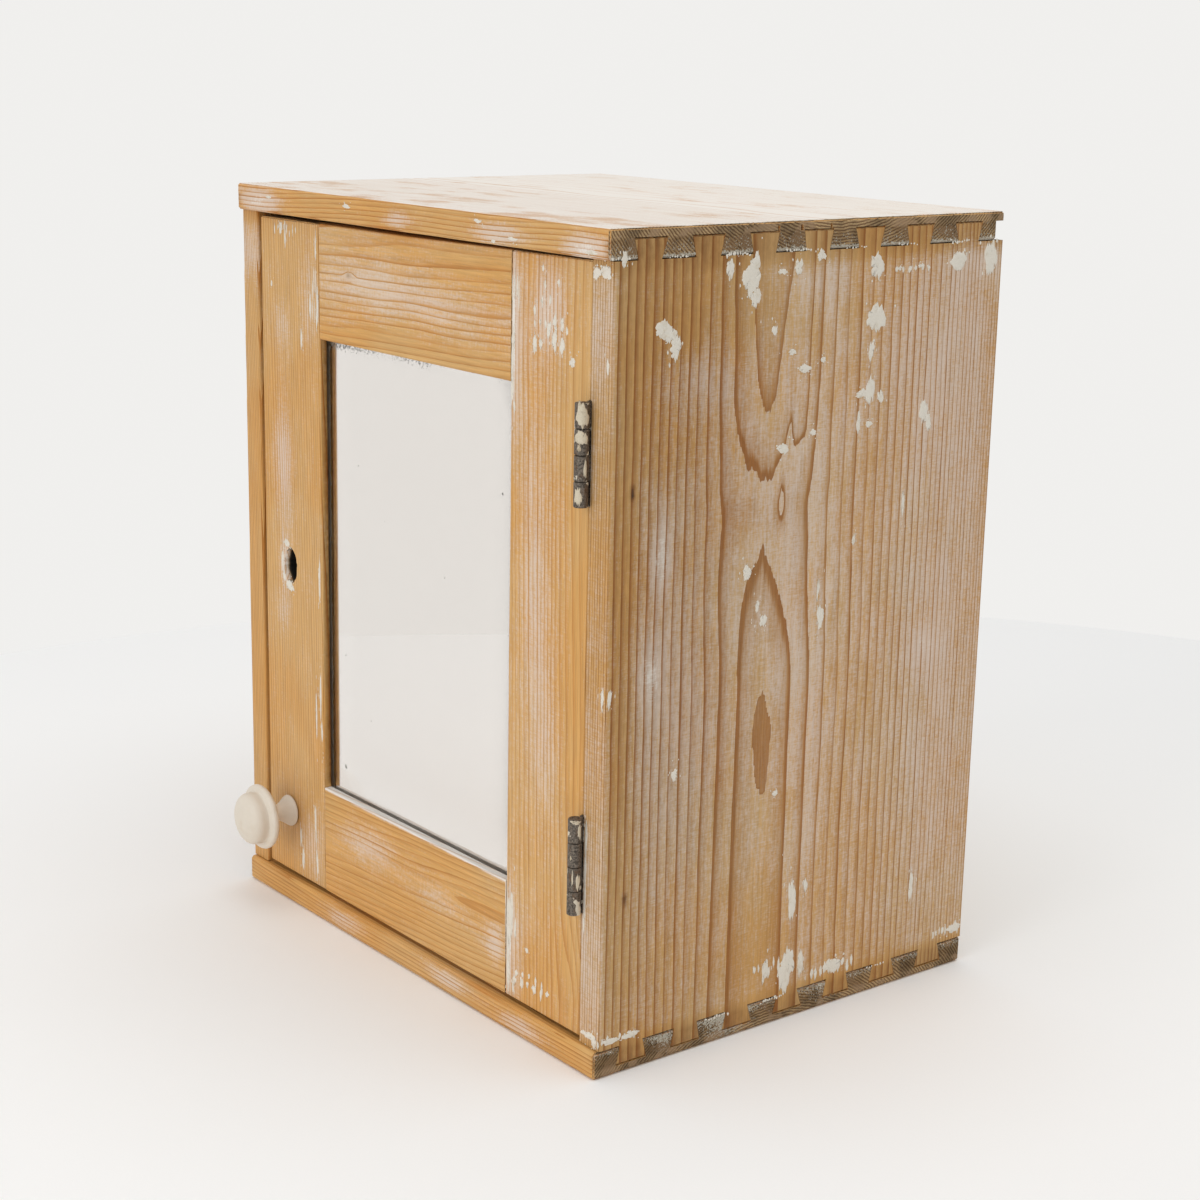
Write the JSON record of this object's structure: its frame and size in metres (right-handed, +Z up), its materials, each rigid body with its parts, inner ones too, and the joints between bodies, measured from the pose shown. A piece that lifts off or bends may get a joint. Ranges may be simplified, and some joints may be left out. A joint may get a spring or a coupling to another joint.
{
  "type": "medicine cabinet",
  "caption": "Upright dovetailed pine cabinet whose hinged door frames a mirror, with a turned pull knob, an empty keyhole and shelves inside, to stand or to hang on a wall.",
  "frame": {"origin": "middle of the bottom board's underside", "axes": "+X to the right and +Y to the back for someone who faces the door, +Z up"},
  "size_m": [0.327, 0.2782, 0.4],
  "materials": {
    "case_pine": "stripped old pine with remains of cream paint",
    "door_pine": "stripped and oiled old pine",
    "raw_pine": "bare planed pine",
    "mirror": "silvered glass with aged edges",
    "iron": "dark worn iron with paint remains",
    "cream_paint": "turned wood in satin cream paint"
  },
  "bodies": {
    "case": {"top_board": "case_pine", "bottom_board": "case_pine", "left_side": "case_pine", "right_side": "case_pine", "back_board_left": "raw_pine", "back_board_middle": "raw_pine", "back_board_right": "raw_pine", "back_nail_left_foot_1": "iron", "back_nail_left_foot_2": "iron", "back_nail_left_head_1": "iron", "back_nail_left_head_2": "iron", "back_nail_middle_foot_1": "iron", "back_nail_middle_foot_2": "iron", "back_nail_middle_head_1": "iron", "back_nail_middle_head_2": "iron", "back_nail_right_foot_1": "iron", "back_nail_right_foot_2": "iron", "back_nail_right_head_1": "iron", "back_nail_right_head_2": "iron", "shelf_lower": "raw_pine", "shelf_upper": "raw_pine", "door_stop": "raw_pine", "door_stop_nail_foot": "iron", "door_stop_nail_head": "iron", "hinge_upper_case_leaf": "iron", "hinge_upper_pin": "iron", "hinge_upper_case_screw_foot": "iron", "hinge_upper_case_screw_head": "iron", "hinge_lower_case_leaf": "iron", "hinge_lower_pin": "iron", "hinge_lower_case_screw_foot": "iron", "hinge_lower_case_screw_head": "iron"},
    "door": {"door_stile_left": "door_pine", "door_stile_right": "door_pine", "door_rail_top": "door_pine", "door_rail_bottom": "door_pine", "mirror_glass": "mirror", "mirror_backing": "raw_pine", "mirror_bead_left": "raw_pine", "mirror_bead_right": "raw_pine", "mirror_bead_foot": "raw_pine", "mirror_bead_head": "raw_pine", "bead_pin_left_1": "iron", "bead_pin_left_2": "iron", "bead_pin_right_1": "iron", "bead_pin_right_2": "iron", "bead_pin_foot_1": "iron", "bead_pin_foot_2": "iron", "bead_pin_head_1": "iron", "bead_pin_head_2": "iron", "knob": "cream_paint", "knob_screw": "iron", "hinge_upper_door_leaf": "iron", "hinge_upper_door_screw_foot": "iron", "hinge_upper_door_screw_head": "iron", "hinge_lower_door_leaf": "iron", "hinge_lower_door_screw_foot": "iron", "hinge_lower_door_screw_head": "iron"}
  },
  "joints": [
    {"name": "door_swing", "type": "hinge", "parent": "case", "child": "door", "pos_m": [0.1475, -0.126, 0.2], "axis": [0, 0, 1], "range_deg": [0, 180]}
  ]
}
